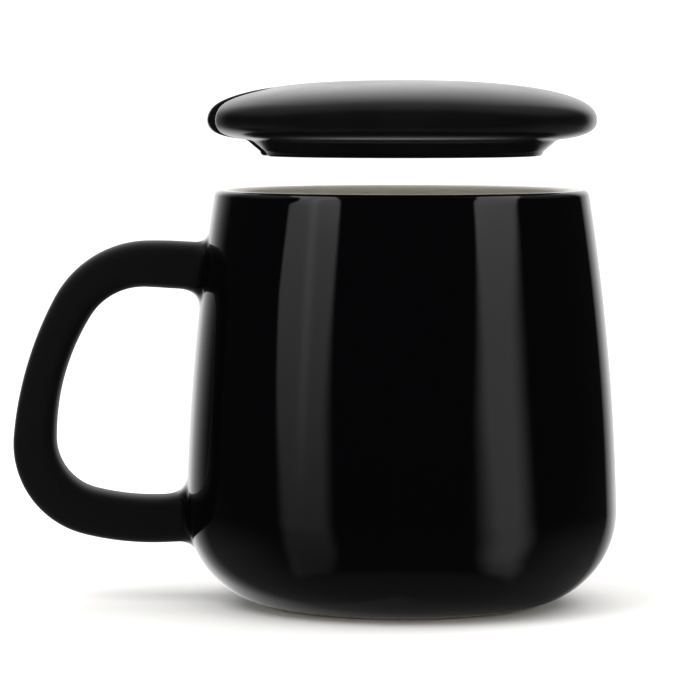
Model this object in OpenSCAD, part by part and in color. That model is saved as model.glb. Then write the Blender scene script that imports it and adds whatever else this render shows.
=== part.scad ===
// Heated ceramic mug with a lift-off lid.
// Millimetres, +Z up. The origin is on the mug's axis, in the plane of the foot.
// The handle points along -X. The lid is drawn lifted clear of the rim.

/* [Mug shell] */
// Outer diameter at the rim
mouth_d = 80; // [72:0.5:88]
// Widest outer diameter, low on the belly
belly_d = 92.6; // [88:0.2:104]
// Height from the foot to the rim
mug_h = 89; // [82:1:110]
// Radius of the outer corner between belly and base
corner_r = 20.3; // [17:0.1:23]
// Radius of the long bow of the side wall
bow_r = 495; // [400:5:900]
// Thickness of the side wall
wall = 4.4; // [3.8:0.1:5.6]
// Thickness of the ceramic floor above the heater
floor_t = 4; // [3:0.1:6]
// Radius of the inner corner between wall and floor
inner_corner_r = 14; // [9:0.5:20]
// Rounding of the rim's outer edge
lip_outer_r = 1.5; // [0.8:0.1:1.6]
// Rounding of the rim's inner edge
lip_inner_r = 2.2; // [1.2:0.1:2.2]

/* [Handle] */
// How far the middle of the upper root lies below the rim
handle_drop = 17; // [15:0.5:24]
// Angle at which the upper arm rises away from the wall
arm_rise = 8; // [4:0.5:12]
// Bend radius of the upper arm
upper_arm_r = 114; // [90:1:140]
// Turn of the upper arm
upper_arm_turn = 7.4; // [5:0.1:10]
// Bend radius of the shoulder
shoulder_r = 18.3; // [15:0.1:21]
// Turn of the shoulder
shoulder_turn = 60.6; // [56:0.1:65]
// Bend radius of the long side
side_r = 62; // [54:0.5:70]
// Turn of the long side
side_turn = 27.5; // [24:0.1:31]
// Bend radius of the heel
heel_r = 15.6; // [13:0.1:18]
// Turn of the heel
heel_turn = 78.6; // [74:0.1:83]
// Bend radius of the lower arm
lower_arm_r = 56.6; // [45:0.1:70]
// Turn of the lower arm
lower_arm_turn = 25; // [20:0.1:30]
// Thickness of the upper arm, in the plane of the loop
arm_t = 10.4; // [9:0.1:12]
// Thickness of the long side
side_t = 8.3; // [7:0.1:10]
// Thickness of the heel and the lower arm
heel_t = 10.2; // [9:0.1:12]
// Width of the handle across the loop
handle_w = 12.4; // [10:0.1:16]
// Fillet at the handle's roots on the inside of the loop
inner_fillet = 4.8; // [3:0.1:6]
// Fillet at the handle's roots on the outside of the loop
outer_fillet = 2.8; // [2:0.1:4]

/* [Heater recess] */
// Diameter of the recess under the floor
recess_d = 46; // [45:0.1:47]
// Height of the base cover above the table
cover_lift = 0.8; // [0.4:0.1:1.5]
// Thickness of the base cover
cover_t = 1.2; // [1:0.1:2]
// Thickness of the ferrite shield
ferrite_t = 0.6; // [0.4:0.1:1]
// Thickness of the tray's floor
tray_floor_t = 1; // [0.8:0.1:1.6]
// Headroom for the parts under the board
parts_h = 1.8; // [1.7:0.1:3]
// Thickness of the circuit board
board_t = 0.8; // [0.6:0.1:1.6]
// Thickness of the felt that insulates the heater
felt_t = 1.2; // [1.1:0.1:2]
// Thickness of the heating film
film_t = 0.3; // [0.2:0.05:0.5]
// Thickness of the heat spreader
spreader_t = 1; // [0.6:0.1:2]
// Thickness of the thermal pad
pad_t = 0.5; // [0.3:0.1:1]
// Wall of the tray
tray_wall = 1.2; // [0.8:0.1:1.4]
// Radial room between the tray and the recess, which the bond fills
bond_t = 0.5; // [0.3:0.1:0.8]
// Height of the bond
bond_h = 2; // [1:0.1:3]
// Radial clearance of each loose disc and of the base cover
disc_gap = 0.3; // [0.2:0.05:0.4]

/* [Coil and base fixings] */
// Diameter of the coil's enamelled wire
wire_d = 0.8; // [0.6:0.05:1]
// Step from one turn of the coil to the next
coil_pitch = 1.25; // [1.2:0.05:1.3]
// Radius of the coil's innermost half turn
coil_inner_r = 7; // [6:0.1:7.5]
// Half turns in the coil, an odd number
coil_half_turns = 15; // [9:2:15]
// Radial width of the gasket's groove
gasket_groove = 1.4; // [1.2:0.05:1.5]
// Clearance round the gasket's cord in its groove
gasket_gap = 0.05; // [0:0.01:0.1]
// Number of cover screws
screws = 3; // [2:1:3]
// Diameter of a screw's shank
screw_d = 1.8; // [1.4:0.1:2]
// Diameter of a screw's head
screw_head_d = 3.2; // [2.8:0.1:3.4]
// Height of a screw's countersunk head
screw_head_h = 0.8; // [0.6:0.1:0.9]
// Width of a screw's hexagon socket across its corners
socket_d = 1.5; // [1:0.1:1.7]
// Wall of plastic round a screw
boss_wall = 1; // [0.8:0.1:1.1]

/* [Lid] */
// How far the lid's edge reaches out past the rim
lid_overhang = 1.8; // [1:0.1:4]
// Height of the dome above the lid's widest line
dome_h = 8.6; // [6:0.1:14]
// Fullness of the dome's curve
dome_fullness = 2.38; // [2:0.02:3]
// Depth of the underside below the lid's widest line
under_h = 4.3; // [3:0.1:6]
// Fullness of the underside's curve
under_fullness = 2.45; // [2:0.05:3.5]
// Width of the curved band round the flat middle of the underside
under_curve_w = 13.3; // [10:0.1:13.5]
// Thickness of the lid at its crown
crown_t = 5; // [4:0.1:7]
// Room between the mug's mouth and the locating ring, where the ring leaves the lid
ring_room = 2.6; // [1.5:0.1:3]
// How far the ring's outside draws in from the lid down to its foot
ring_taper = 3; // [1.5:0.1:3.5]
// Wall of the locating ring at its foot
ring_foot_t = 3.3; // [2.6:0.1:3.4]
// Ledge between the ring's inside and the hollow under the dome
hollow_ledge = 0.5; // [0.3:0.1:2]
// Height of the locating ring
ring_h = 3.3; // [2:0.1:6]
// Rounding of the ring's foot
ring_round_r = 0.9; // [0.4:0.1:1]
// Gap between the seated lid and the rim
seat_gap = 0.3; // [0.1:0.05:0.5]
// How far the lid is drawn above its seat
lid_float = 11.1; // [0:0.1:40]

/* [Spoon notch] */
// Width of the notch
notch_w = 9.5; // [7:0.1:12]
// How far the notch reaches in from the lid's edge
notch_depth = 13.4; // [10:0.1:13.8]
// Radius of the corners where the notch opens at the lid's edge
notch_corner_r = 3; // [1:0.1:4]
// Direction of the notch, turned from +X
notch_turn = 188.5; // [0:0.5:360]

/* [Hidden] */
$fn = 96;
// Enough sides for the long bow to come out smooth
bow_fn = 720;
// More than the reach of any profile
far = 200;
// A little extra, so that a cut runs past the face it opens
past = 1;

// Levels of the heater module, from the cover up to the ceramic floor
cover_top = cover_lift + cover_t;
coil_top = cover_top + wire_d;
ferrite_top = coil_top + ferrite_t;
tray_floor_top = ferrite_top + tray_floor_t;
board_bottom = tray_floor_top + parts_h;
board_top = board_bottom + board_t;
felt_top = board_top + felt_t;
film_top = felt_top + film_t;
spreader_top = film_top + spreader_t;
recess_h = spreader_top + pad_t;
floor_z = recess_h + floor_t;

// Radii of the heater module
recess_r = recess_d / 2;
tray_r = recess_r - bond_t;
tray_inner_r = tray_r - tray_wall;
disc_r = tray_inner_r - disc_gap;
skirt_r = recess_r - gasket_groove;
boss_r = screw_d / 2 + boss_wall;
// The bosses grow out of the tray's wall a little
boss_merge = 0.2;
screw_circle_r = tray_inner_r + boss_merge - boss_r;
// The coil winds from +X out to its end on -X, and the shield covers it
coil_end_r = coil_inner_r + (coil_half_turns - 1) * coil_pitch / 2;
shield_r = coil_end_r + wire_d / 2 + disc_gap;
screw_tip_gap = 0.3;
screw_tip_z = board_bottom - screw_tip_gap;

// Outer side of the mug: a corner arc about corner_x, then the long bow about bow_c, tangent to each other
corner_x = belly_d / 2 - corner_r;
mouth_from_corner = [mouth_d / 2 - corner_x, mug_h - corner_r];
bow_reach = (pow(bow_r, 2) - pow(bow_r - corner_r, 2) - pow(norm(mouth_from_corner), 2))
    / (2 * (bow_r - corner_r));
bow_lean = atan2(mouth_from_corner[1], mouth_from_corner[0]) - acos(bow_reach / norm(mouth_from_corner));
bow_c = [corner_x, corner_r] - (bow_r - corner_r) * [cos(bow_lean), sin(bow_lean)];

// Radius of the mug's outside at height z
function mug_r(z) =
    z < corner_r * (1 + sin(bow_lean))
    ? corner_x + sqrt(max(0, pow(corner_r, 2) - pow(z - corner_r, 2)))
    : bow_c[0] + sqrt(pow(bow_r, 2) - pow(z - bow_c[1], 2));

// Inner side: the bow moved in by the wall, and an inner corner tangent to it and to the floor
inner_bow_r = bow_r - wall;
inner_corner_z = floor_z + inner_corner_r;
inner_corner_x = bow_c[0]
    + sqrt(pow(inner_bow_r - inner_corner_r, 2) - pow(inner_corner_z - bow_c[1], 2));

// Roundings of the rim, each tangent to the rim's plane and to its own side of the wall, about these centres
lip_outer_c = [
    bow_c[0] + sqrt(pow(bow_r - lip_outer_r, 2) - pow(mug_h - lip_outer_r - bow_c[1], 2)),
    mug_h - lip_outer_r
];
lip_inner_c = [
    bow_c[0] + sqrt(pow(inner_bow_r + lip_inner_r, 2) - pow(mug_h - lip_inner_r - bow_c[1], 2)),
    mug_h - lip_inner_r
];
// Directions in which they meet the two sides of the wall
lip_outer_turn = asin((lip_outer_c[1] - bow_c[1]) / (bow_r - lip_outer_r));
lip_inner_turn = 180 + asin((lip_inner_c[1] - bow_c[1]) / (inner_bow_r + lip_inner_r));
rim_r = lip_outer_c[0] + lip_outer_r;
rim_inner_r = lip_inner_c[0] - lip_inner_r;
// How far the rim lies below its highest level at radius r
function rim_drop(r) =
    r < lip_inner_c[0]
    ? lip_inner_r - sqrt(max(0, pow(lip_inner_r, 2) - pow(lip_inner_c[0] - r, 2)))
    : r > lip_outer_c[0]
    ? lip_outer_r - sqrt(max(0, pow(lip_outer_r, 2) - pow(r - lip_outer_c[0], 2)))
    : 0;

// Lid: dome and underside are superellipses that meet at the widest line, at height 0
lid_r = mouth_d / 2 + lid_overhang;
flat_r = lid_r - under_curve_w;
function dome_z(r) = dome_h * pow(max(0, 1 - pow(r / lid_r, dome_fullness)), 1 / dome_fullness);
function under_z(r) =
    r <= flat_r
    ? -under_h
    : -under_h * pow(max(0, 1 - pow((r - flat_r) / (lid_r - flat_r), under_fullness)), 1 / under_fullness);
// The lid seats where its underside first meets the rim
seat_steps = 40;
seat_lift = max([
    for (i = [0:seat_steps])
        let (r = rim_inner_r + (rim_r - rim_inner_r) * i / seat_steps)
        -under_z(r) - rim_drop(r)
]);
lid_seat_z = mug_h + seat_gap + seat_lift;
lid_z = lid_seat_z + lid_float;
// The locating ring hangs inside the mug's mouth, and the hollow lies inside the ring
ring_top_r = rim_inner_r - ring_room;
ring_foot_r = ring_top_r - ring_taper;
ring_inner_r = ring_foot_r - ring_foot_t;
hollow_r = ring_inner_r - hollow_ledge;
notch_end_r = lid_r - notch_depth;

// Stations from 0 to 1, close together near 1, where a superellipse turns fastest
function edge_stations(n) = [for (i = [0:n]) sin(90 * i / n)];

// Colours
black_glaze = [0.04, 0.04, 0.045];
satin_black = [0.09, 0.09, 0.095];
copper = [0.72, 0.41, 0.22];
aluminium = [0.76, 0.77, 0.79];
dark_plastic = [0.15, 0.15, 0.16];

// Half section between the axis, a corner arc and a bow
module side_section(corner, radius, bow_radius, top_z) {
    tangent_z = corner[1] + radius * sin(atan2(corner[1] - bow_c[1], corner[0] - bow_c[0]));
    translate([0, corner[1] - radius]) square([corner[0], radius * 2]);
    intersection() {
        translate(corner) circle(r = radius);
        square([far, far]);
    }
    intersection() {
        translate(bow_c) circle(r = bow_radius, $fn = bow_fn);
        translate([0, tangent_z]) square([far, top_z - tangent_z]);
    }
}

// The mug's outside as one solid, which also trims the handle
module mug_envelope() {
    rotate_extrude() side_section([corner_x, corner_r], corner_r, bow_r, mug_h);
}

// Trims the rim to a rounding about the point c, between the directions start and end
module rim_rounding(c, radius, start, end) {
    side_1 = 3 * radius * [cos(start), sin(start)];
    side_2 = 3 * radius * [cos(end), sin(end)];
    translate(c) difference() {
        polygon([[0, 0], side_1, side_1 + side_2, side_2]);
        circle(r = radius);
    }
}

module mug_body() {
    foot_chamfer = 0.5;
    color(black_glaze) difference() {
        rotate_extrude() difference() {
            side_section([corner_x, corner_r], corner_r, bow_r, mug_h);
            side_section([inner_corner_x, inner_corner_z], inner_corner_r, inner_bow_r, mug_h + past);
            rim_rounding(lip_outer_c, lip_outer_r, lip_outer_turn, 90);
            rim_rounding(lip_inner_c, lip_inner_r, 90, lip_inner_turn);
        }
        translate([0, 0, -past]) cylinder(r = recess_r, h = recess_h + past);
        cylinder(r1 = recess_r + foot_chamfer, r2 = recess_r, h = foot_chamfer);
    }
}

// Handle: a chain of arcs in the XZ plane, each a radius and a turn, from the upper root to the lower one
root_embed = 2.6;
handle_arcs = [
    [upper_arm_r, upper_arm_turn], [shoulder_r, shoulder_turn], [side_r, side_turn],
    [heel_r, heel_turn], [lower_arm_r, lower_arm_turn]
];
handle_start = [root_embed - mug_r(mug_h - handle_drop), mug_h - handle_drop];
handle_heading = 180 - arm_rise;

function arc_length(arc) = arc[0] * arc[1] * PI / 180;
// Point and heading after following part of an arc, as [x, z, heading]
function along(start, radius, turn) =
    [
        start[0] + radius * (sin(start[2] + turn) - sin(start[2])),
        start[1] - radius * (cos(start[2] + turn) - cos(start[2])),
        start[2] + turn
    ];
arc_starts = [
    for (i = 0, at = [handle_start[0], handle_start[1], handle_heading];
         i <= len(handle_arcs);
         at = i < len(handle_arcs) ? along(at, handle_arcs[i][0], handle_arcs[i][1]) : at, i = i + 1)
        at
];
arcs_length = [
    for (i = 0, sum = 0; i <= len(handle_arcs);
         sum = i < len(handle_arcs) ? sum + arc_length(handle_arcs[i]) : sum, i = i + 1)
        sum
];
arcs_end = arc_starts[len(handle_arcs)];
// A straight tail carries the lower arm on into the wall
tail = max(1, (root_embed - mug_r(arcs_end[1]) - arcs_end[0]) / cos(arcs_end[2]));
handle_length = arcs_length[len(handle_arcs)] + tail;

// Point and heading of the handle's middle line after the length s
function handle_at(s) =
    s >= arcs_length[len(handle_arcs)]
    ? let (rest = s - arcs_length[len(handle_arcs)])
        [arcs_end[0] + rest * cos(arcs_end[2]), arcs_end[1] + rest * sin(arcs_end[2]), arcs_end[2]]
    : let (i = max([for (k = [0:len(handle_arcs) - 1]) if (s >= arcs_length[k]) k]))
        along(arc_starts[i], handle_arcs[i][0], (s - arcs_length[i]) / handle_arcs[i][0] * 180 / PI);

// Thickness in the plane of the loop, eased between the arm, the side and the heel
slim_share = 0.42;
heel_share = 0.75;
function ease(t) = (1 - cos(180 * t)) / 2;
function handle_t(u) =
    u < slim_share ? arm_t + (side_t - arm_t) * ease(u / slim_share)
    : u < heel_share ? side_t + (heel_t - side_t) * ease((u - slim_share) / (heel_share - slim_share))
    : heel_t;

// Cross-section of the handle: a superellipse, with point 0 on the inside of the loop
handle_sides = 24;
section_fullness = 3;
function signed_pow(v) = sign(v) * pow(abs(v), 2 / section_fullness);
function section_at(s, k) =
    let (
        p = handle_at(s),
        turn = 360 * k / handle_sides,
        a = handle_t(s / handle_length) / 2 * signed_pow(cos(turn)),
        b = handle_w / 2 * signed_pow(sin(turn))
    )
    [p[0] - a * sin(p[2]), b, p[1] + a * cos(p[2])];

// Where a line from p along dir meets the mug's outside, by halving the stretch from near to far_end
function to_wall(p, dir, near, far_end, halvings = 24) =
    let (mid = (near + far_end) / 2, at = p + mid * dir)
    halvings == 0 ? at
    : norm([at[0], at[1]]) > mug_r(at[2]) ? to_wall(p, dir, mid, far_end, halvings - 1)
    : to_wall(p, dir, near, mid, halvings - 1);
// The point moved level to the given depth under the mug's outside
function under_wall(p, depth) =
    let (k = (mug_r(p[2]) - depth) / norm([p[0], p[1]]))
    [p[0] * k, p[1] * k, p[2]];

// Root of the handle: each of the section's points runs on to the wall, and a parabola rounds the corner
// that it makes there. t runs from 0 on the arm to 1 on the wall, and way is the sense of travel to the wall.
function root_point(s, way, k, t, depth) =
    let (
        middle = handle_at(s),
        dir = way * [cos(middle[2]), 0, sin(middle[2])],
        p = section_at(s, k),
        outward = (p - [middle[0], 0, middle[1]]) / norm(p - [middle[0], 0, middle[1]]),
        side = (1 + cos(360 * k / handle_sides)) / 2,
        fillet = outer_fillet + (inner_fillet - outer_fillet) * side,
        corner = to_wall(p, dir, 0, 3 * (root_embed + root_run)),
        arm_end = corner - fillet * dir,
        wall_end = under_wall(corner + fillet * outward, 0),
        rounded = (1 - t) * (1 - t) * arm_end + 2 * t * (1 - t) * corner + t * t * wall_end
    )
    depth == 0 ? rounded : under_wall(rounded, depth);

// Stations of the roots, which stop short of lying flat on the wall, and of the arms between them
root_steps = [0.86, 0.72, 0.56, 0.4, 0.2, 0];
root_spare = 1.5;
root_run = inner_fillet + root_spare;
span_steps = 38;
root_s = root_embed + root_run;
handle_rings = [
    [for (k = [0:handle_sides - 1]) root_point(root_s, -1, k, root_steps[0], root_embed / 2)],
    for (t = root_steps) [for (k = [0:handle_sides - 1]) root_point(root_s, -1, k, t, 0)],
    for (i = [0:span_steps])
        let (s = root_s + (handle_length - 2 * root_s) * i / span_steps)
        [for (k = [0:handle_sides - 1]) section_at(s, k)],
    for (i = [len(root_steps) - 1:-1:0])
        [for (k = [0:handle_sides - 1]) root_point(handle_length - root_s, 1, k, root_steps[i], 0)],
    [
        for (k = [0:handle_sides - 1])
            root_point(handle_length - root_s, 1, k, root_steps[0], root_embed / 2)
    ]
];
handle_points = [for (loop = handle_rings) each loop];
handle_faces = [
    [for (k = [handle_sides - 1:-1:0]) k],
    for (i = [0:len(handle_rings) - 2])
        for (k = [0:handle_sides - 1])
            let (
                a = i * handle_sides + k,
                b = i * handle_sides + (k + 1) % handle_sides,
                c = b + handle_sides,
                d = a + handle_sides
            )
            each [[a, c, d], [a, b, c]],
    [for (k = [0:handle_sides - 1]) (len(handle_rings) - 1) * handle_sides + k]
];

module handle() {
    color(black_glaze) difference() {
        polyhedron(points = handle_points, faces = handle_faces);
        mug_envelope();
    }
}

// A flat disc between two levels
module disc(radius, bottom, top) {
    translate([0, 0, bottom]) cylinder(r = radius, h = top - bottom);
}

// A flat ring between two levels
module ring(outer, inner, bottom, top) {
    difference() {
        disc(outer, bottom, top);
        disc(inner, bottom - past, top + past);
    }
}

// Places its children at each screw
module at_screws() {
    for (i = [0:screws - 1]) {
        rotate(90 + 360 * i / screws) translate([screw_circle_r, 0, 0]) children();
    }
}

module thermal_pad() {
    color("lightsteelblue") disc(tray_inner_r, spreader_top, recess_h);
}

module heat_spreader() {
    edge = 0.3;
    color(aluminium) translate([0, 0, film_top]) {
        cylinder(r = disc_r, h = spreader_t - edge);
        translate([0, 0, spreader_t - edge]) cylinder(r1 = disc_r, r2 = disc_r - edge, h = edge);
    }
}

// Middle of the two heater leads, and half the distance between them
lead_r = 16;
lead_half_gap = 1.6;
heater_lead_d = 1;

module at_heater_leads() {
    for (side = [-1, 1]) {
        translate([side * lead_half_gap, -lead_r, 0]) children();
    }
}

module heating_film() {
    color("darkorange") disc(disc_r - disc_gap, felt_top, film_top);
}

module heater_leads() {
    color("firebrick") at_heater_leads() disc(heater_lead_d / 2, board_top, felt_top);
}

// Thermistor bead in a window of the felt, between the board and the film
sensor_x = 4;
sensor_d = 1;
sensor_l = 2.2;
window_gap = 0.6;

module temperature_sensor() {
    leg_d = 0.3;
    bead_z = felt_top - sensor_d / 2;
    color("seagreen") {
        translate([sensor_x - sensor_l / 2, 0, bead_z]) rotate([0, 90, 0]) cylinder(d = sensor_d, h = sensor_l);
        for (side = [-1, 1]) {
            translate([sensor_x + side * sensor_l / 4, 0, board_top]) cylinder(d = leg_d, h = bead_z - board_top);
        }
    }
}

// Safety fuse in a second window of the felt
cutoff_size = [6, 3.2];
cutoff_x = -6;
tab_l = 1.6;

module thermal_cutoff() {
    tab_w = 1.4;
    tab_t = 0.25;
    film_clear = 0.1;
    color("white") {
        translate([cutoff_x - cutoff_size[0] / 2, -cutoff_size[1] / 2, board_top])
            cube([cutoff_size[0], cutoff_size[1], felt_t - film_clear]);
        translate([cutoff_x - cutoff_size[0] / 2 - tab_l, -tab_w / 2, board_top])
            cube([cutoff_size[0] + 2 * tab_l, tab_w, tab_t]);
    }
}

module insulation_disc() {
    color("linen") difference() {
        disc(disc_r, board_top, felt_top);
        at_heater_leads() disc(heater_lead_d / 2 + disc_gap, board_top - past, felt_top + past);
        translate([sensor_x, 0, board_top - past])
            linear_extrude(felt_t + 2 * past)
            square([sensor_l + 2 * window_gap, sensor_d + 2 * window_gap], center = true);
        translate([cutoff_x, 0, board_top - past])
            linear_extrude(felt_t + 2 * past)
            square([cutoff_size[0] + 2 * (tab_l + window_gap), cutoff_size[1] + 2 * window_gap], center = true);
    }
}

module circuit_board() {
    key_r = 1.2;
    color("darkgreen") difference() {
        disc(disc_r, board_bottom, board_top);
        translate([disc_r, 0, board_bottom - past]) cylinder(r = key_r, h = board_t + 2 * past);
    }
}

// A square part hanging under the board, as [x, y, side across X, side across Y, height]
module board_part(p) {
    translate([p[0] - p[2] / 2, p[1] - p[3] / 2, board_bottom - p[4]]) cube([p[2], p[3], p[4]]);
}

chip_list = [[0, 0.5, 5, 5, 0.9], [-9.5, -7, 4, 4.6, 0.9], [9.5, -8, 3.2, 5.2, 1.2]];
choke_size = [6.4, 6.4, 1.6];
choke_at = [-8.5, 6.5];
capacitor_r = 12.6;
capacitor_size = [2.4, 1.5, 1.3];
capacitor_turns = [-68, -86, -104, 28, 46, 64, 82];

module control_chips() {
    foot_w = 0.5;
    foot_h = 0.35;
    feet = 4;
    color(dark_plastic) for (p = chip_list) {
        board_part(p);
        for (side = [-1, 1]) {
            for (k = [0:feet - 1]) {
                foot_y = p[1] + (k - (feet - 1) / 2) * p[3] / feet;
                board_part([p[0] + side * p[2] / 2, foot_y, 2 * foot_w, foot_w, foot_h]);
            }
        }
    }
}

module storage_capacitors() {
    color("burlywood") for (a = capacitor_turns) {
        rotate(a) board_part([capacitor_r, 0, capacitor_size[0], capacitor_size[1], capacitor_size[2]]);
    }
}

module power_inductor() {
    eye_d = 3.4;
    eye_h = 0.4;
    color("dimgray") difference() {
        board_part([choke_at[0], choke_at[1], choke_size[0], choke_size[1], choke_size[2]]);
        translate([choke_at[0], choke_at[1], board_bottom - choke_size[2] - past])
            cylinder(d = eye_d, h = eye_h + past);
    }
}

// Each end of the coil has a lead that rises to the board
module at_coil_leads() {
    for (x = [coil_inner_r, -coil_end_r]) {
        translate([x, 0, 0]) children();
    }
}

module coil_leads() {
    color(copper) at_coil_leads() disc(wire_d / 2, coil_top, board_bottom);
}

// The coil is half turns about two centres in turn, each half a pitch larger than the last
module receiver_coil() {
    wire_z = cover_top + wire_d / 2;
    color(copper) for (i = [0:coil_half_turns - 1]) {
        translate([i % 2 == 0 ? 0 : coil_pitch / 2, 0, wire_z])
            rotate(i % 2 == 0 ? 0 : 180)
            rotate_extrude(angle = 180)
            translate([coil_inner_r + i * coil_pitch / 2, 0])
            circle(d = wire_d, $fn = 16);
    }
}

module ferrite_shield() {
    color("darkslategray") difference() {
        disc(shield_r, coil_top, ferrite_top);
        at_coil_leads() disc(wire_d / 2 + disc_gap / 2, coil_top - past, ferrite_top + past);
    }
}

module module_tray() {
    wall_top = film_top;
    skirt_wall = 1;
    color(dark_plastic) difference() {
        union() {
            ring(tray_r, tray_inner_r, ferrite_top, wall_top);
            disc(tray_r, ferrite_top, tray_floor_top);
            ring(skirt_r, skirt_r - skirt_wall, cover_top, ferrite_top);
            at_screws() disc(boss_r, cover_top, board_bottom);
        }
        at_screws() disc(screw_d / 2, cover_top - past, screw_tip_z);
        at_coil_leads() disc(wire_d / 2 + disc_gap / 2, ferrite_top - past, tray_floor_top + past);
    }
}

module bond_ring() {
    color("gainsboro") ring(recess_r, tray_r, film_top - bond_h, film_top);
}

module base_gasket() {
    cord_d = min(gasket_groove, ferrite_top - cover_top) - 2 * gasket_gap;
    color("indianred") rotate_extrude()
        translate([recess_r - gasket_groove / 2, (cover_top + ferrite_top) / 2])
        circle(d = cord_d, $fn = 24);
}

module base_cover() {
    edge = 0.4;
    color(dark_plastic) difference() {
        union() {
            disc(recess_r - disc_gap, cover_lift + edge, cover_top);
            translate([0, 0, cover_lift])
                cylinder(r1 = recess_r - disc_gap - edge, r2 = recess_r - disc_gap, h = edge);
        }
        at_screws() screw_solid(past);
    }
}

// One countersunk screw, with its head run out below by extra
module screw_solid(extra) {
    translate([0, 0, cover_lift - extra]) cylinder(d = screw_head_d, h = extra);
    translate([0, 0, cover_lift]) cylinder(d1 = screw_head_d, d2 = screw_d, h = screw_head_h);
    translate([0, 0, cover_lift]) cylinder(d = screw_d, h = screw_tip_z - cover_lift);
}

module cover_screws() {
    socket_h = 0.5;
    color(aluminium) at_screws() difference() {
        screw_solid(0);
        translate([0, 0, cover_lift - past]) cylinder(d = socket_d, h = socket_h + past, $fn = 6);
    }
}

// Outline of the lid's half section, without the hollow
dome_steps = 30;
under_steps = 12;
lid_outline = concat(
    [for (u = edge_stations(dome_steps)) [u * lid_r, dome_z(u * lid_r)]],
    [
        for (i = [under_steps - 1:-1:0])
            let (r = flat_r + (lid_r - flat_r) * edge_stations(under_steps)[i])
            [r, under_z(r)]
    ],
    [[0, -under_h]]
);

// Everything the notch takes away: a slot with a round end, and rounded corners at the edge
module notch_cut() {
    mid_r = notch_end_r + notch_w / 2;
    corner_y = notch_w / 2 + notch_corner_r;
    corner_from_axis = sqrt(pow(lid_r - notch_corner_r, 2) - pow(corner_y, 2));
    spread = 1.4;
    rotate(notch_turn) translate([0, 0, -far / 2]) linear_extrude(far) {
        translate([mid_r, 0]) circle(d = notch_w);
        translate([mid_r, -notch_w / 2]) square([lid_r, notch_w]);
        difference() {
            polygon([
                [corner_from_axis, -corner_y],
                [corner_from_axis, corner_y],
                [corner_from_axis * spread, corner_y * spread],
                [corner_from_axis * spread, -corner_y * spread]
            ]);
            for (side = [-1, 1]) {
                translate([corner_from_axis, side * corner_y]) circle(r = notch_corner_r);
            }
        }
    }
}

// Hollow under the dome: a shallow bowl that leaves the crown its thickness
module lid_hollow() {
    depth = dome_h + under_h - crown_t;
    bowl_r = (pow(hollow_r, 2) + pow(depth, 2)) / (2 * depth);
    intersection() {
        translate([0, 0, dome_h - crown_t - bowl_r]) sphere(r = bowl_r);
        translate([0, 0, -under_h - past]) cylinder(r = hollow_r, h = far);
    }
}

module lid_cap() {
    color(satin_black) translate([0, 0, lid_z]) difference() {
        rotate_extrude() polygon(lid_outline);
        lid_hollow();
        notch_cut();
    }
}

// The ring is open at the notch, with ends in line with the notch's sides
module lid_ring() {
    foot_z = -under_h - ring_h;
    // The ring runs up into the lid's underside, which then trims it to an exact seat
    root_z = -under_h + past;
    color(satin_black) translate([0, 0, lid_z]) difference() {
        rotate_extrude() {
            polygon([
                [ring_inner_r, foot_z],
                [ring_foot_r - ring_round_r, foot_z],
                [ring_foot_r, foot_z + ring_round_r],
                [ring_top_r, -under_h],
                [ring_top_r, root_z],
                [ring_inner_r, root_z]
            ]);
            translate([ring_foot_r - ring_round_r, foot_z + ring_round_r]) circle(r = ring_round_r, $fn = 32);
        }
        rotate_extrude() polygon(lid_outline);
        rotate(notch_turn) translate([0, -notch_w / 2, foot_z - past]) cube([lid_r, notch_w, far]);
    }
}

mug_body();
handle();
thermal_pad();
heat_spreader();
heating_film();
temperature_sensor();
thermal_cutoff();
insulation_disc();
heater_leads();
circuit_board();
control_chips();
storage_capacitors();
power_inductor();
module_tray();
bond_ring();
ferrite_shield();
receiver_coil();
coil_leads();
base_gasket();
base_cover();
cover_screws();
lid_cap();
lid_ring();
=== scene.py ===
import bpy
import bmesh
import numpy as np
from mathutils import Matrix, Vector


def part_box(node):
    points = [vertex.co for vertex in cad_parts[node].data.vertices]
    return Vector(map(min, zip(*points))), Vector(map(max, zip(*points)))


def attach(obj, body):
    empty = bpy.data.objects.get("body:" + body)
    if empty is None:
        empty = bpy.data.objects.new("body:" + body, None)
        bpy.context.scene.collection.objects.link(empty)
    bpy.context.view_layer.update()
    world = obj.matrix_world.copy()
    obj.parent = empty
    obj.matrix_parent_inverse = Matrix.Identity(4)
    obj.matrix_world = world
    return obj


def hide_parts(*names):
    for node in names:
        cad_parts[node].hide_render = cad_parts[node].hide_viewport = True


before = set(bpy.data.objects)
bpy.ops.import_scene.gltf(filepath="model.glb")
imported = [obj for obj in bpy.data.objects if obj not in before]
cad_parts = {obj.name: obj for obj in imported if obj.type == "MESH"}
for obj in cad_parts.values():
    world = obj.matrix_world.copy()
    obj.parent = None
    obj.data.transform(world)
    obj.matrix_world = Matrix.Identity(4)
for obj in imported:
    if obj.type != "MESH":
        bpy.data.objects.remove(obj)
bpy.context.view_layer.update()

mm = 0.001
weldReach = 0.0005 * mm  # points closer than this are one
noiseSpan = (0.3, 0.7)  # nearly all of a noise texture's values lie between these


def cosD(angle):
    return np.cos(np.radians(angle))


def sinD(angle):
    return np.sin(np.radians(angle))


view = {
    "eye": (-11.07, -850.0, 112.8),
    "aim": (-11.07, 0.0, 54.5),
    "pictureWidth": 150.5,  # what the picture takes in at the mug's axis
    "sensor": 36.0,
    "clip": (0.01, 60.0),  # metres
}


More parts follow.
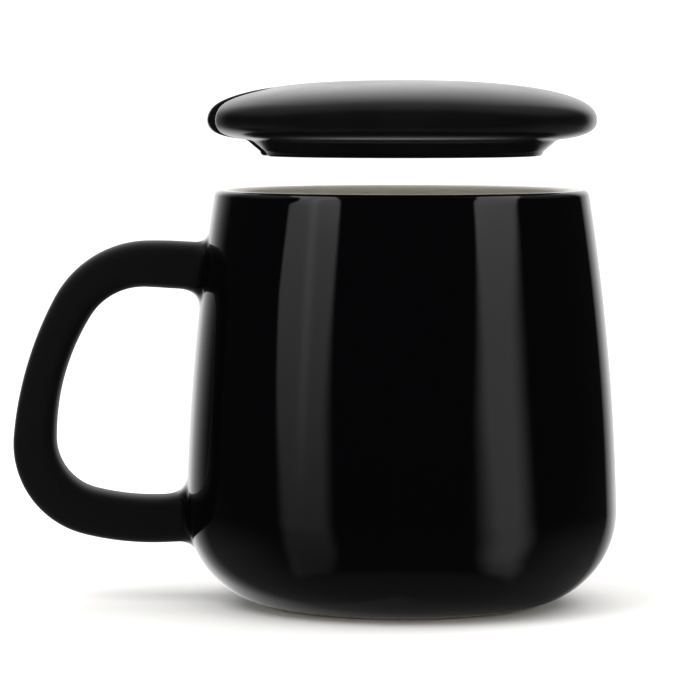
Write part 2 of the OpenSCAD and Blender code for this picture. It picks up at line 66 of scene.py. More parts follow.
def makeCamera():
    # The axes are worked out from eye and aim: forward, then right level with the floor, then up
    eye, aim = np.array(view["eye"]) * mm, np.array(view["aim"]) * mm
    distance = np.linalg.norm(aim - eye)
    forward = (aim - eye) / distance
    right = np.cross(forward, (0, 0, 1))
    right /= np.linalg.norm(right)
    place = np.eye(4)
    place[:3, 0], place[:3, 1], place[:3, 2], place[:3, 3] = right, np.cross(right, forward), -forward, eye
    camera = bpy.data.objects.new("camera", bpy.data.cameras.new("camera"))
    bpy.context.collection.objects.link(camera)
    camera.matrix_world = Matrix(place.tolist())
    camera.data.sensor_width = view["sensor"]
    camera.data.lens = view["sensor"] * distance / (view["pictureWidth"] * mm)
    camera.data.clip_start, camera.data.clip_end = view["clip"]
    bpy.context.scene.camera = camera


makeCamera()
bpy.context.scene.view_settings.view_transform = "Standard"
print("camera made")


def linear(hexColour):
    # sRGB hex to linear RGBA
    c = np.array([int(hexColour[i:i + 2], 16) for i in (1, 3, 5)]) / 255
    c = np.where(c <= 0.04045, c / 12.92, ((c + 0.055) / 1.055) ** 2.4)
    return (*c.tolist(), 1.0)


def grey(level):
    return (level, level, level, 1.0)


def noiseOf(coords, length, detail):
    # A noise texture's inputs, for a pattern of that real length
    return {"Vector": coords, "Scale": 1 / (length * mm), "Detail": detail}


def ranged(source, span, result):
    # A Map Range node's inputs: the source, the span it is read over, and the result at its two ends
    return dict(enumerate((source, *span, *result)))


def addNode(tree, kind, inputs=(), stops=(), **settings):
    # One node with its settings, its inputs (a value or another node's socket) and its ramp's stops
    node = tree.nodes.new("ShaderNode" + kind)
    for key, value in settings.items():
        setattr(node, key, value)
    for key, value in dict(inputs).items():
        if isinstance(value, bpy.types.NodeSocket):
            tree.links.new(value, node.inputs[key])
        else:
            node.inputs[key].default_value = value
    if stops:
        elements = node.color_ramp.elements
        while len(elements) < len(stops):
            elements.new(1.0)
        for element, (position, colour) in zip(elements, stops):
            element.position, element.color = position, colour
    return node


def emptyTree(owner):
    # Turns nodes on for a material or a world and clears them
    owner.use_nodes = True
    owner.node_tree.nodes.clear()
    return owner.node_tree


def newMaterial(name):
    # An empty material: its tree, its shader already on the output, and Object coordinates
    material = bpy.data.materials.new(name)
    tree = emptyTree(material)
    shader = addNode(tree, "BsdfPrincipled")
    addNode(tree, "OutputMaterial", {"Surface": shader.outputs["BSDF"]})
    return material, tree, shader, addNode(tree, "TexCoord").outputs["Object"]


def connect(tree, shader, sources):
    # Links each source to the shader's socket of that name
    for socket, source in sources.items():
        tree.links.new(source, shader.inputs[socket])


def setLayers(mesh, layers):
    # One number for each point, kept on the mesh for its material
    for name, values in layers.items():
        layer = mesh.attributes.new(name, "FLOAT", "POINT")
        layer.data.foreach_set("value", np.ravel(values).astype(np.float32))


def addObject(name, mesh):
    added = bpy.data.objects.new(name, mesh)
    bpy.context.collection.objects.link(added)
    return added


def gridPiece(name, rows, material, body, stands, layers=(), merge=False):
    # rows[i, j] is point j of closed loop i, in millimetres. Neighbouring loops are joined by quads, and
    # each end loop by a fan to its own middle. The sign of the enclosed volume says which way faces run.
    count, around = rows.shape[:2]
    points = np.concatenate([rows.reshape(-1, 3), rows[[0, -1]].mean(axis=1)])
    i, j = np.meshgrid(np.arange(count - 1), np.arange(around), indexing="ij")
    k = (j + 1) % around
    quads = np.stack([i * around + j, i * around + k, (i + 1) * around + k, (i + 1) * around + j], axis=-1)
    quads = quads.reshape(-1, 4)
    first, after = np.arange(around), (np.arange(around) + 1) % around
    last = (count - 1) * around
    fans = np.concatenate([
        np.stack([after, first, np.full(around, count * around)], axis=-1),
        np.stack([last + first, last + after, np.full(around, count * around + 1)], axis=-1),
    ])
    triangles = points[np.concatenate([quads[:, [0, 1, 2]], quads[:, [0, 2, 3]], fans])]
    if np.einsum("ij,ij->i", triangles[:, 0], np.cross(triangles[:, 1], triangles[:, 2])).sum() < 0:
        quads, fans = quads[:, ::-1], fans[:, ::-1]
    sizes = np.concatenate([np.full(len(quads), 4), np.full(len(fans), 3)])
    mesh = bpy.data.meshes.new(name)
    mesh.vertices.add(len(points))
    mesh.vertices.foreach_set("co", (points * mm).ravel())
    mesh.loops.add(int(sizes.sum()))
    mesh.loops.foreach_set("vertex_index", np.concatenate([quads.ravel(), fans.ravel()]))
    mesh.polygons.add(len(sizes))
    mesh.polygons.foreach_set("loop_start", np.concatenate([[0], np.cumsum(sizes)[:-1]]))
    mesh.polygons.foreach_set("use_smooth", np.ones(len(sizes), dtype=bool))
    setLayers(mesh, {layer: np.concatenate([np.repeat(perRow, around), perRow[[0, -1]]])
                     for layer, perRow in dict(layers).items()})
    mesh.update(calc_edges=True)
    mesh.validate()
    if merge:
        work = bmesh.new()
        work.from_mesh(mesh)
        bmesh.ops.remove_doubles(work, verts=work.verts, dist=weldReach)
        bmesh.ops.dissolve_degenerate(work, dist=weldReach, edges=work.edges)
        work.to_mesh(mesh)
        work.free()
    mesh.materials.append(material)
    piece = addObject(name, mesh)
    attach(piece, body)
    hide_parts(*stands)
    return piece


def arc(centre, radius, start, end, count):
    # Points on an arc from the angle start to the angle end
    turn = np.linspace(start, end, count)
    return np.stack([centre[0] + radius * cosD(turn), centre[1] + radius * sinD(turn)], axis=-1)


def smooth(t):
    t = np.clip(t, 0, 1)
    return t * t * (3 - 2 * t)


glaze = {
    "clay": "#b4a794", "clayDark": "#978a78",
    "black": "#020203", "edge": "#33211a", "tan": "#8f7d66", "liner": "#eae5d6",
    # along the wall from 0 at the bare foot to 1 inside the cup: the colours and the roughness there
    "colours": ((0.0, "clay"), (0.17, "clayDark"), (0.25, "edge"), (0.3, "black"),
                (0.66, "black"), (0.76, "edge"), (0.87, "tan"), (0.95, "liner")),
    "roughness": ((0.0, 0.85), (0.22, 0.7), (0.3, 0.045), (0.8, 0.06), (1.0, 0.16)),
    "bare": (0.18, 0.3),
    "driftLength": 9.0, "drift": 0.07,  # the edges of the glaze wander
    "smearLength": 24.0, "smear": (0.8, 1.35),
    "waveLength": 20.0, "waveHeight": 0.008,
    "peelLength": 2.2, "peelHeight": 0.0022,
    "grainLength": 0.6, "grainHeight": 0.05,
    "soft": "#070708", "softRough": 0.5,
    "IOR": 1.52,
}


def makeGlaze():
    # Stoneware, dipped in gloss black outside and lined with a pale glaze, fired to a liquid gloss with a
    # slow ripple. The glaze breaks brown where it thins at the rim, and the wiped foot shows bare fired
    # clay. The layer "glaze" runs along the wall: 0 bare, 1 black, 2 liner. The layer "soft" turns the gloss
    # to satin.
    material, tree, shader, coords = newMaterial("glossBlackGlaze")
    layer = addNode(tree, "Attribute", attribute_name="glaze", attribute_type="GEOMETRY").outputs["Fac"]
    drift = addNode(tree, "TexNoise", noiseOf(coords, glaze["driftLength"], 2.0))
    drift = addNode(tree, "MapRange", ranged(drift.outputs[0], noiseSpan, (-glaze["drift"], glaze["drift"])))
    state = addNode(tree, "Math", {0: layer, 1: drift.outputs[0]}, operation="ADD")
    state = addNode(tree, "Math", {0: state.outputs[0], 1: 0.5}, operation="MULTIPLY").outputs[0]
    stops = [(at, linear(glaze[key])) for at, key in glaze["colours"]]
    colour = addNode(tree, "ValToRGB", {0: state}, stops)
    rough = addNode(tree, "ValToRGB", {0: state}, [(at, grey(level)) for at, level in glaze["roughness"]])
    smear = addNode(tree, "TexNoise", noiseOf(coords, glaze["smearLength"], 3.0))
    smear = addNode(tree, "MapRange", ranged(smear.outputs[0], (0.35, 0.75), glaze["smear"]))
    rough = addNode(tree, "Math", {0: rough.outputs[0], 1: smear.outputs[0]}, operation="MULTIPLY")
    soft = addNode(tree, "Attribute", attribute_name="soft", attribute_type="GEOMETRY").outputs["Fac"]
    rough = addNode(tree, "Mix", {0: soft, 2: rough.outputs[0], 3: glaze["softRough"]})
    bare = addNode(tree, "MapRange", ranged(state, glaze["bare"], (1.0, 0.0))).outputs[0]
    relief = {}
    for kind, detail, strength in (("wave", 1.0, 1.0), ("peel", 1.0, 1.0), ("grain", 4.0, bare)):
        noise = addNode(tree, "TexNoise", noiseOf(coords, glaze[kind + "Length"], detail))
        bump = addNode(tree, "Bump", {"Height": noise.outputs[0], "Distance": glaze[kind + "Height"] * mm,
                                      "Strength": strength, **relief})
        relief = {"Normal": bump.outputs[0]}
    colour = addNode(tree, "Mix", {0: soft, 6: colour.outputs[0], 7: linear(glaze["soft"])},
                     data_type="RGBA")
    connect(tree, shader, {"Base Color": colour.outputs[2], "Roughness": rough.outputs[0], **relief})
    shader.inputs["IOR"].default_value = glaze["IOR"]
    return material


satin = {
    "dark": "#060607", "light": "#09090a", "cloudLength": 12.0, "rough": (0.17, 0.23),
    "grainLength": 0.5, "grainHeight": 0.006, "IOR": 1.5,
}


def makeSatin():
    # The lid's glaze is fired to a satin skin: a fine even tooth that spreads every reflection
    material, tree, shader, coords = newMaterial("satinBlackGlaze")
    cloud = addNode(tree, "TexNoise", noiseOf(coords, satin["cloudLength"], 4.0)).outputs[0]
    stops = [(0.35, linear(satin["dark"])), (0.7, linear(satin["light"]))]
    tone = addNode(tree, "ValToRGB", {0: cloud}, stops)
    rough = addNode(tree, "MapRange", ranged(cloud, noiseSpan, satin["rough"]))
    tooth = addNode(tree, "TexNoise", noiseOf(coords, satin["grainLength"], 2.0))
    bump = addNode(tree, "Bump", {"Height": tooth.outputs[0], "Distance": satin["grainHeight"] * mm,
                                  "Strength": 1.0})
    connect(tree, shader, {"Base Color": tone.outputs[0], "Roughness": rough.outputs[0],
                           "Normal": bump.outputs[0]})
    shader.inputs["IOR"].default_value = satin["IOR"]
    return material


blackGlaze = makeGlaze()
satinGlaze = makeSatin()
print("ceramic finishes made")

mug = {
    "mouth": 80.0, "belly": 92.6, "height": 89.0, "corner": 20.3, "bow": 495.0, "wall": 4.4,
    "floor": 14.0, "innerCorner": 14.0, "lipOuter": 1.5, "lipInner": 2.2,
    "recess": 23.0, "recessTop": 10.0, "recessFillet": 0.5, "footBevel": 0.5,
    "glazeLine": (0.7, 1.3),  # heights between which the glaze ends above the foot
    "lipBreak": (0.6, 1.7),  # the glaze layer from the lip's outer edge to its top
    "around": 288, "pole": 0.6,
}
cornerX = mug["belly"] / 2 - mug["corner"]
bowR = mug["bow"]
innerBowR = bowR - mug["wall"]


def findBow():
    # Centre of the long bow: it touches the corner arc from inside and passes through the mouth's edge
    gap = np.array([mug["mouth"] / 2 - cornerX, mug["height"] - mug["corner"]])
    between = bowR - mug["corner"]
    reach = (bowR ** 2 - between ** 2 - gap @ gap) / (2 * between)
    lean = np.degrees(np.arctan2(gap[1], gap[0]) - np.arccos(reach / np.linalg.norm(gap)))
    return lean, cornerX - between * cosD(lean), mug["corner"] - between * sinD(lean)


bowLean, bowX, bowZ = findBow()


def mugRadius(z):
    # Outside radius at height z: the corner arc up to where the bow takes over
    low = cornerX + np.sqrt(np.maximum(0, mug["corner"] ** 2 - (z - mug["corner"]) ** 2))
    high = bowX + np.sqrt(bowR ** 2 - (z - bowZ) ** 2)
    return np.where(z < mug["corner"] * (1 + sinD(bowLean)), low, high)


def mugProfile():
    # The wall's half section as one open line, from the recess under the floor round the rim to the cup's
    # floor, and the glaze layer along it. Each run is its points, then the layer at its start and end.
    r, top, fillet, bevel = mug["recess"], mug["recessTop"], mug["recessFillet"], mug["footBevel"]
    outerZ, innerZ = mug["height"] - mug["lipOuter"], mug["height"] - mug["lipInner"]
    outerTurn = np.degrees(np.arcsin((outerZ - bowZ) / (bowR - mug["lipOuter"])))
    innerTurn = np.degrees(np.arcsin((innerZ - bowZ) / (innerBowR + mug["lipInner"])))
    outerC = (bowX + (bowR - mug["lipOuter"]) * cosD(outerTurn), outerZ)
    innerC = (bowX + (innerBowR + mug["lipInner"]) * cosD(innerTurn), innerZ)
    cupZ = mug["floor"] + mug["innerCorner"]
    cupTurn = np.degrees(np.arcsin((cupZ - bowZ) / (innerBowR - mug["innerCorner"])))
    cupC = (bowX + (innerBowR - mug["innerCorner"]) * cosD(cupTurn), cupZ)
    edge, lipTop = mug["lipBreak"]
    runs = [
        (np.linspace((mug["pole"], top), (r - fillet, top), 12), 0, 0),
        (arc((r - fillet, top - fillet), fillet, 90, 0, 6)[1:], 0, 0),
        (np.linspace((r, top - fillet), (r, bevel), 10)[1:], 0, 0),
        (np.linspace((r, bevel), (r + bevel, 0), 3)[1:], 0, 0),
        (np.linspace((r + bevel, 0), (cornerX, 0), 4)[1:], 0, 0),
        (arc((cornerX, mug["corner"]), mug["corner"], -90, bowLean, 84)[1:], None, None),
        (arc((bowX, bowZ), bowR, bowLean, outerTurn, 70)[1:], 1, 1),
        (arc(outerC, mug["lipOuter"], outerTurn, 90, 16)[1:], edge, lipTop),
        (np.linspace((outerC[0], mug["height"]), (innerC[0], mug["height"]), 3)[1:], lipTop, 2),
        (arc(innerC, mug["lipInner"], 90, 180 + innerTurn, 18)[1:], 2, 2),
        (arc((bowX, bowZ), innerBowR, innerTurn, cupTurn, 56)[1:], 2, 2),
        (arc(cupC, mug["innerCorner"], cupTurn, -90, 34)[1:], 2, 2),
        (np.linspace((cupC[0], mug["floor"]), (mug["pole"], mug["floor"]), 14)[1:], 2, 2),
    ]
    layer = []
    for points, start, end in runs:
        if start is None:
            low, high = mug["glazeLine"]
            layer.append(np.clip((points[:, 1] - low) / (high - low), 0, 1))
        else:
            # past the foot the layer is never under 1, so the black gives way only near the lip's top
            layer.append(np.maximum(np.linspace(start, end, len(points)), start > 0))
    return np.concatenate([run[0] for run in runs]), np.concatenate(layer)


def makeMug():
    # The profile (r, z) is carried round the axis: (r cos a, r sin a, z)
    profile, layer = mugProfile()
    turn = np.linspace(0, 2 * np.pi, mug["around"], endpoint=False)
    rows = np.stack([
        profile[:, :1] * np.cos(turn), profile[:, :1] * np.sin(turn), profile[:, 1:] + 0 * turn,
    ], axis=-1)
    return gridPiece("mugShell", rows, blackGlaze, "mug", ["mug_body"], {"glaze": layer})


mugShell = makeMug()
print("mug shell made")

handle = {
    "drop": 17.0, "rise": 8.0,
    # radius and turn of each arc of the middle line, from the upper arm to the lower
    "arcs": ((114.0, 7.4), (18.3, 60.6), (62.0, 27.5), (15.6, 78.6), (56.6, 25.0)),
    "arm": 10.4, "side": 8.3, "heel": 10.2, "width": 12.4, "fullness": 3.0,
    "slimShare": 0.42, "heelShare": 0.75,
    "embed": 2.6, "innerFillet": 4.8, "outerFillet": 2.8, "rootSpare": 2.3,
    "sides": 96, "rootRings": 26, "spanRings": 200,
    "softRings": (4, 16),  # rings of the root between which the soft glaze turns glossy
    "sink": ((0.35, 0.015), (0.8, 0.4)),  # past the fillet's end: how far along the wall, how deep in it
    "reach": 40.0, "halvings": 40,  # the search for the wall from a root's section
}


def handlePath():
    # Start of each arc as (x, z, heading) and the length up to it; the last entry is the end of the chain
    z = mug["height"] - handle["drop"]
    starts = [(handle["embed"] - mugRadius(z), z, 180 - handle["rise"])]
    lengths = [0.0]
    for radius, turn in handle["arcs"]:
        x, z, heading = starts[-1]
        starts.append((x + radius * (sinD(heading + turn) - sinD(heading)),
                       z - radius * (cosD(heading + turn) - cosD(heading)), heading + turn))
        lengths.append(lengths[-1] + radius * np.radians(turn))
    x, z, heading = starts[-1]
    tail = max(1, (handle["embed"] - mugRadius(z) - x) / cosD(heading))
    return np.array(starts, dtype=float), np.array(lengths), lengths[-1] + tail


handleStarts, handleLengths, handleLength = handlePath()


def handleAt(s):
    # Middle line after the length s: along its arc, or along the straight tail past the last one
    s = np.atleast_1d(s)
    radii = np.array(handle["arcs"])[:, 0]
    i = np.clip(np.searchsorted(handleLengths, s, side="right") - 1, 0, len(radii))
    onArc = i < len(radii)
    x, z, heading = handleStarts[i].T
    rest = s - handleLengths[i]
    radius = radii[np.minimum(i, len(radii) - 1)]
    ahead = heading + np.degrees(rest / radius)
    return (np.where(onArc, x + radius * (sinD(ahead) - sinD(heading)), x + rest * cosD(heading)),
            np.where(onArc, z - radius * (cosD(ahead) - cosD(heading)), z + rest * sinD(heading)),
            np.where(onArc, ahead, heading))


def handleThickness(u):
    # Eased from the arm to the slim side and on to the heel
    slimAt, heelAt = handle["slimShare"], handle["heelShare"]
    first = (1 - cosD(180 * u / slimAt)) / 2
    second = (1 - cosD(180 * (u - slimAt) / (heelAt - slimAt))) / 2
    slim = handle["arm"] + (handle["side"] - handle["arm"]) * first
    heel = handle["side"] + (handle["heel"] - handle["side"]) * second
    return np.where(u < slimAt, slim, np.where(u < heelAt, heel, handle["heel"]))


def handleSections(s):
    # Superellipse across the middle line at each length s, half-thickness a along the normal, half-width b
    # along Y: at the angle t it is (a sgn(cos t) |cos t|^(2/p), b sgn(sin t) |sin t|^(2/p))
    x, z, heading = (v[:, None] for v in handleAt(s))
    turn = np.linspace(0, 360, handle["sides"], endpoint=False)[None]
    power = 2 / handle["fullness"]
    across = np.sign(cosD(turn)) * np.abs(cosD(turn)) ** power
    along = np.sign(sinD(turn)) * np.abs(sinD(turn)) ** power
    a = handleThickness(np.atleast_1d(s) / handleLength)[:, None] / 2 * across
    y = handle["width"] / 2 * along + 0 * x
    return np.stack([x - a * sinD(heading), y, z + a * cosD(heading)], axis=-1)


def underWall(points, depth):
    # The points moved level to that depth inside the mug's outside
    scale = (mugRadius(points[..., 2]) - depth) / np.hypot(points[..., 0], points[..., 1])
    return points * np.stack([scale, scale, np.ones_like(scale)], axis=-1)


def handleRoot(s, way):
    # From each point of the section a straight run meets the wall at a corner. A parabola with that corner
    # as its control point rounds it: (1-t)^2 armEnd + 2t(1-t) corner + t^2 wallEnd. Two more rings dive in.
    x, z, heading = (v[0] for v in handleAt(s))
    middle, ahead = np.array([x, 0, z]), way * np.array([cosD(heading), 0, sinD(heading)])
    section = handleSections(s)[0]
    outward = (section - middle) / np.linalg.norm(section - middle, axis=1, keepdims=True)
    inside = (1 + cosD(np.linspace(0, 360, handle["sides"], endpoint=False))) / 2
    fillet = (handle["outerFillet"] + (handle["innerFillet"] - handle["outerFillet"]) * inside)[:, None]
    near, beyond = np.zeros(len(section)), np.full(len(section), handle["reach"])
    for step in range(handle["halvings"]):
        half = (near + beyond) / 2
        at = section + half[:, None] * ahead
        outside = np.hypot(at[:, 0], at[:, 1]) > mugRadius(at[:, 2])
        near, beyond = np.where(outside, half, near), np.where(outside, beyond, half)
    corner = section + near[:, None] * ahead
    armEnd, wallEnd = corner - fillet * ahead, underWall(corner + fillet * outward, 0)
    t = np.linspace(0, 1, handle["rootRings"])[:, None, None]
    rings = (1 - t) ** 2 * armEnd + 2 * t * (1 - t) * corner + t ** 2 * wallEnd
    sunk = [underWall(corner + (fillet + further) * outward, depth)[None]
            for further, depth in handle["sink"]]
    return np.concatenate([rings, *sunk])


def makeHandle():
    root = handle["embed"] + handle["innerFillet"] + handle["rootSpare"]
    span = handleSections(np.linspace(root, handleLength - root, handle["spanRings"]))
    lowerRoot = handleRoot(handleLength - root, 1)
    roots = len(lowerRoot)
    rows = np.concatenate([handleRoot(root, -1)[::-1], span, lowerRoot])
    # the glaze is fired softer on the loop than on the mug, and turns glossy in the roots' roundings
    start, end = handle["softRings"]
    fade = 1 - smooth((np.arange(roots) - start) / (end - start))
    soft = np.concatenate([fade[::-1], np.ones(len(span)), fade])
    gridPiece("loopHandle", rows, blackGlaze, "mug", ["handle"],
              {"glaze": np.ones(len(rows)), "soft": soft})


makeHandle()
print("handle made")

lid = {
    "overhang": 1.8, "dome": 8.6, "domeFullness": 2.38,
    "under": 4.3, "underFullness": 2.45, "curveWidth": 13.3,
    "crown": 5.0, "edgeRound": 1.1, "edgeShare": 0.42, "bowlRound": 1.2,
    "notchWidth": 9.5, "notchDepth": 13.4, "notchCorner": 3.0, "notchTurn": 188.5,
    "strip": 2.3, "stripRows": 20, "notchShare": 1.4,
    "coreRadius": 24.6, "coreRows": 26, "poleRows": 16, "wallRows": 7, "pole": 0.5,
}
ring = {
    "room": 2.6, "taper": 3.0, "foot": 3.3, "ledge": 0.5, "height": 3.3,
    "outerRound": 0.9, "innerRound": 0.6, "endRound": 0.8, "fillet": 0.7,
    "sink": 0.25,  # how far its back lies inside the lid
    "around": 250,
}
lidR = mug["mouth"] / 2 + lid["overhang"]
flatR = lidR - lid["curveWidth"]
notchHalf = lid["notchWidth"] / 2
notchMid = lidR - lid["notchDepth"] + notchHalf
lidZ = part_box("lid_cap")[1][2] / mm - lid["dome"]


def domeZ(r):
    # Superellipse: height (1 - (r / R)^p)^(1/p)
    p = lid["domeFullness"]
    return lid["dome"] * np.maximum(0, 1 - (r / lidR) ** p) ** (1 / p)


def underZ(r):
    # The same below, with a flat middle
    p = lid["underFullness"]
    u = np.clip((r - flatR) / (lidR - flatR), 0, 1)
    return -lid["under"] * np.maximum(0, 1 - u ** p) ** (1 / p)


def ringRadii():
    # The ring's radii from the mug's mouth inwards: top, foot, inside, and the hollow of the dome
    innerZ = mug["height"] - mug["lipInner"]
    mouth = bowX + np.sqrt((innerBowR + mug["lipInner"]) ** 2 - (innerZ - bowZ) ** 2) - mug["lipInner"]
    top = mouth - ring["room"]
    foot = top - ring["taper"]
    return top, foot, foot - ring["foot"], foot - ring["foot"] - ring["ledge"]


ringTop, ringFoot, ringInner, hollowR = ringRadii()


def hollowZ(r):
    # Underside with the bowl of the hollow let into it. Where the two meet, the step d between them is eased
    # over as (d + sqrt(d^2 + e^2) - e) / 2.
    depth = lid["dome"] + lid["under"] - lid["crown"]
    bowl = (hollowR ** 2 + depth ** 2) / (2 * depth)
    beyond = hollowR + 2
    inside = lid["dome"] - lid["crown"] - bowl + np.sqrt(bowl ** 2 - np.minimum(r, beyond) ** 2)
    gap = inside - underZ(r)
    ease = lid["bowlRound"] / 2
    return underZ(r) + np.where(r > beyond, 0, (gap + np.sqrt(gap ** 2 + ease ** 2) - ease) / 2 * (gap > -3))


def lidOutline():
    # The notched edge in the notch's own frame, notch towards +X, as points and normals into the lid. Upper
    # half: round end of the slot, its straight side, the corner rounding, then the lid's circle. The lower
    # half mirrors it.
    corner = lid["notchCorner"]
    cornerY = notchHalf + corner
    cornerAt = np.sqrt((lidR - corner) ** 2 - cornerY ** 2)
    meets = np.degrees(np.arctan2(cornerY, cornerAt))
    a = np.linspace(180, 90, 26)
    b = np.linspace(0, 1, 16)[1:]
    c = np.linspace(-90, meets, 26)[1:]
    d = meets + (180 - meets) * np.linspace(0, 1, 150)[1:]
    points = np.concatenate([
        np.stack([notchMid + notchHalf * cosD(a), notchHalf * sinD(a)], axis=-1),
        np.stack([notchMid + (cornerAt - notchMid) * b, np.full(len(b), notchHalf)], axis=-1),
        np.stack([cornerAt + corner * cosD(c), cornerY + corner * sinD(c)], axis=-1),
        np.stack([lidR * cosD(d), lidR * sinD(d)], axis=-1),
    ])
    normals = np.concatenate([
        np.stack([cosD(a), sinD(a)], axis=-1),
        np.stack([0 * b, np.ones(len(b))], axis=-1),
        np.stack([-cosD(c), -sinD(c)], axis=-1),
        np.stack([-cosD(d), -sinD(d)], axis=-1),
    ])
    onNotch = np.arange(len(points)) < len(a) + len(b) + len(c)
    mirror = slice(-2, 0, -1)
    flip = np.array([1, -1])
    return (np.concatenate([points, points[mirror] * flip]),
            np.concatenate([normals, normals[mirror] * flip]),
            np.concatenate([onNotch, onNotch[mirror]]))


def lidGrid():
    # Plan of the lid: an even strip inside the edge, straight lines on to a core circle, and rays to the
    # middle. The core's angles share out the strip's inner length, with more for the notch's part, so that
    # the lines fan out round the notch and never cross.
    edge, normal, onNotch = lidOutline()
    depth = lid["strip"] * (1 - cosD(np.linspace(0, 90, lid["stripRows"])))
    strip = edge + depth[:, None, None] * normal
    inner = strip[-1]
    steps = np.linalg.norm(np.diff(inner, axis=0, append=inner[:1]), axis=1)
    steps = steps * np.where(onNotch, lid["notchShare"], 1)
    angle = np.concatenate([[0], np.cumsum(steps)[:-1]]) / steps.sum() * 360
    ray = np.stack([cosD(angle), sinD(angle)], axis=-1)
    share = np.linspace(0, 1, lid["coreRows"])[1:, None, None]
    core = inner + share * (lid["coreRadius"] * ray - inner)
    radii = np.linspace(lid["coreRadius"], lid["pole"], lid["poleRows"])[1:, None, None]
    plan = np.concatenate([strip, core, radii * ray])
    # how far each row lies from the notch's wall; past the strip it is far enough not to matter
    away = np.concatenate([depth, np.full(len(plan) - len(depth), lidR)])
    return plan, away[:, None], onNotch


def turned(rows):
    # From the notch's frame to the part's, and up to the lid's place
    c, s = cosD(lid["notchTurn"]), sinD(lid["notchTurn"])
    return np.stack([rows[..., 0] * c - rows[..., 1] * s, rows[..., 0] * s + rows[..., 1] * c,
                     rows[..., 2] + lidZ], axis=-1)


def makeLid():
    # Dome above and hollowed underside below on the same plan, joined by the notch's wall. Both edges of the
    # wall are quarter rounds: at the distance d from the wall the surface falls by e - sqrt(e^2 - (e-d)^2).
    plan, away, onNotch = lidGrid()
    r = np.hypot(plan[..., 0], plan[..., 1])
    edgeR = np.minimum(r[0], lidR)
    wall = domeZ(edgeR) - underZ(edgeR)
    e = np.where(onNotch, np.minimum(lid["edgeRound"], lid["edgeShare"] * wall), 0) + 1e-9
    fall = e - np.sqrt(np.maximum(0, e ** 2 - np.maximum(0, e - away) ** 2))
    r = np.minimum(r, lidR)
    upper = np.concatenate([plan, (domeZ(r) - fall)[..., None]], axis=-1)
    lower = np.concatenate([plan, (hollowZ(r) + fall)[..., None]], axis=-1)
    share = np.linspace(0, 1, lid["wallRows"] + 2)[1:-1, None, None]
    side = upper[0] + share * (lower[0] - upper[0])
    rows = turned(np.concatenate([upper[::-1], side, lower]))
    gridPiece("lidDome", rows, satinGlaze, "lid", ["lid_cap"], merge=True)


makeLid()
print("lid made")


def ringSection():
    # Half section of the locating ring, closed: down the inside, round the foot, up the flared outside, a
    # small fillet of glaze out on to the lid, and back along a line a little inside the lid. The fillet is a
    # parabola with the ring's root as its control point.
    foot = -lid["under"] - ring["height"]
    inRound, outRound, fillet, sink = ring["innerRound"], ring["outerRound"], ring["fillet"], ring["sink"]
    root = np.array([ringTop, underZ(ringTop)])
    base = np.array([ringFoot, foot + outRound])
    flare = (root - base) / np.linalg.norm(root - base)
    start, out = root - fillet * flare, np.array([ringTop + fillet, underZ(ringTop + fillet)])
    t = np.linspace(0, 1, 8)[:, None]
    bend = (1 - t) ** 2 * start + 2 * t * (1 - t) * root + t ** 2 * out
    back = np.linspace(ringTop + fillet, ringInner, 16)
    return np.concatenate([
        np.linspace((ringInner, -lid["under"] + sink), (ringInner, foot + inRound), 8),
        arc((ringInner + inRound, foot + inRound), inRound, 180, 270, 8)[1:],
        np.linspace((ringInner + inRound, foot), (ringFoot - outRound, foot), 5)[1:],
        arc((ringFoot - outRound, foot + outRound), outRound, -90, 0, 12)[1:],
        np.linspace(base, start, 6)[1:],
        bend[1:],
        np.stack([back, underZ(back) + sink], axis=-1)[:-1],
    ])


def makeRing():
    # The section is carried round from one side of the notch to the other: (r cos a, r sin a, z). Its ends
    # lie in the planes of the notch's sides, where sin(a) = half width / r, and draw in there like a quarter
    # round.
    section = ringSection()
    r, z = section.T
    radius = ring["endRound"]
    a = radius * (1 - cosD(np.linspace(0, 90, 9)))
    inset = radius - np.sqrt(np.maximum(0, radius ** 2 - (radius - a) ** 2))
    middle = (ringInner + ringTop) / 2
    span = np.degrees(np.arcsin(notchHalf / r))
    first = span + np.degrees(a[:, None] / r)
    share = np.linspace(0, 1, ring["around"])[1:-1, None]
    between = first[-1] + share * (360 - 2 * first[-1])
    angle = np.concatenate([first, between, 360 - first[::-1]])
    inset = np.concatenate([inset, np.zeros(len(between)), inset[::-1]])[:, None]
    rr = middle + (r - middle) * (1 - inset / (ringTop - ringInner) * 2)
    foot = -lid["under"] + (z + lid["under"]) * (1 - inset / ring["height"])
    zz = np.where(z < -lid["under"], foot, z)
    rows = turned(np.stack([rr * cosD(angle), rr * sinD(angle), zz], axis=-1))
    gridPiece("locatingRing", rows, satinGlaze, "lid", ["lid_ring"], merge=True)


makeRing()
print("locating ring made")

